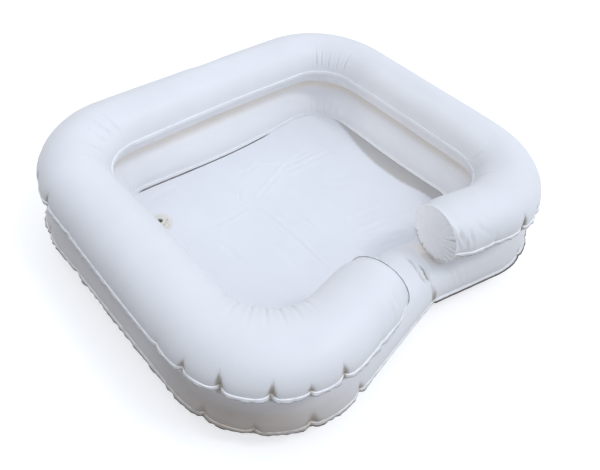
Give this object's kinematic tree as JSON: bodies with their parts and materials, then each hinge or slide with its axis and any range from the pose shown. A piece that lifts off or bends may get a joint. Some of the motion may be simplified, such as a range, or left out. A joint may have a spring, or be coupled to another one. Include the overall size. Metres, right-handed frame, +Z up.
{
  "type": "inflatable shampoo basin",
  "caption": "Inflatable shampoo basin of stacked air rings of white vinyl, with a gap in the upper ring for the neck, a taut floor, a plugged drain and push-in air valves.",
  "frame": {"origin": "under the middle of the basin, on the surface that it stands on", "axes": "+X to the right along the wide side, +Y away from the neck gap, +Z up"},
  "size_m": [0.711, 0.618, 0.1717],
  "materials": {
    "white_vinyl": "matt white vinyl sheet",
    "floor_vinyl": "matt white vinyl sheet",
    "cream_pvc": "soft cream plastic",
    "clear_pvc": "soft clear plastic"
  },
  "bodies": {
    "basin": {"upper_ring_top_sheet": "white_vinyl", "upper_ring_bottom_sheet": "white_vinyl", "upper_ring_left_end_cap": "white_vinyl", "upper_ring_right_end_cap": "white_vinyl", "lower_ring_top_sheet": "white_vinyl", "lower_ring_bottom_sheet": "white_vinyl", "basin_floor_sheet": "floor_vinyl", "drain_patch": "cream_pvc", "drain_flange": "cream_pvc", "drain_elbow": "cream_pvc", "upper_valve_base": "clear_pvc", "lower_valve_base": "clear_pvc"},
    "drain_plug": {"drain_plug": "cream_pvc"},
    "upper_valve_stem": {"upper_valve_stem": "clear_pvc"},
    "upper_valve_flap": {"upper_valve_flap": "clear_pvc"},
    "upper_valve_plug": {"upper_valve_plug": "clear_pvc"},
    "lower_valve_stem": {"lower_valve_stem": "clear_pvc"},
    "lower_valve_flap": {"lower_valve_flap": "clear_pvc"},
    "lower_valve_plug": {"lower_valve_plug": "clear_pvc"}
  },
  "joints": [
    {"name": "drain_plug_hinge", "type": "hinge", "parent": "basin", "child": "drain_plug", "pos_m": [-0.216, 0.104, 0.04145], "axis": [0, -1, 0], "range_deg": [0, 150]},
    {"name": "upper_valve_stem_slide", "type": "slide", "parent": "basin", "child": "upper_valve_stem", "axis": [0, 0.9397, 0.342], "range_m": [0, 0.009]},
    {"name": "upper_valve_plug_hinge", "type": "hinge", "parent": "upper_valve_stem", "child": "upper_valve_plug", "pos_m": [0.0095, 0.29628, 0.14417], "axis": [0, -0.342, 0.9397], "range_deg": [0, 150]},
    {"name": "upper_valve_flap_hinge", "type": "hinge", "parent": "upper_valve_stem", "child": "upper_valve_flap", "pos_m": [0.0148, 0.27768, 0.1374], "axis": [0, 0.342, -0.9397], "range_deg": [0, 40], "stiffness_Nm_per_rad": 0.0002},
    {"name": "lower_valve_stem_slide", "type": "slide", "parent": "basin", "child": "lower_valve_stem", "axis": [0, 0.9397, 0.342], "range_m": [0, 0.009]},
    {"name": "lower_valve_plug_hinge", "type": "hinge", "parent": "lower_valve_stem", "child": "lower_valve_plug", "pos_m": [-0.0905, 0.30307, 0.05831], "axis": [0, -0.342, 0.9397], "range_deg": [0, 150]},
    {"name": "lower_valve_flap_hinge", "type": "hinge", "parent": "lower_valve_stem", "child": "lower_valve_flap", "pos_m": [-0.0852, 0.28446, 0.05154], "axis": [0, 0.342, -0.9397], "range_deg": [0, 40], "stiffness_Nm_per_rad": 0.0002}
  ]
}
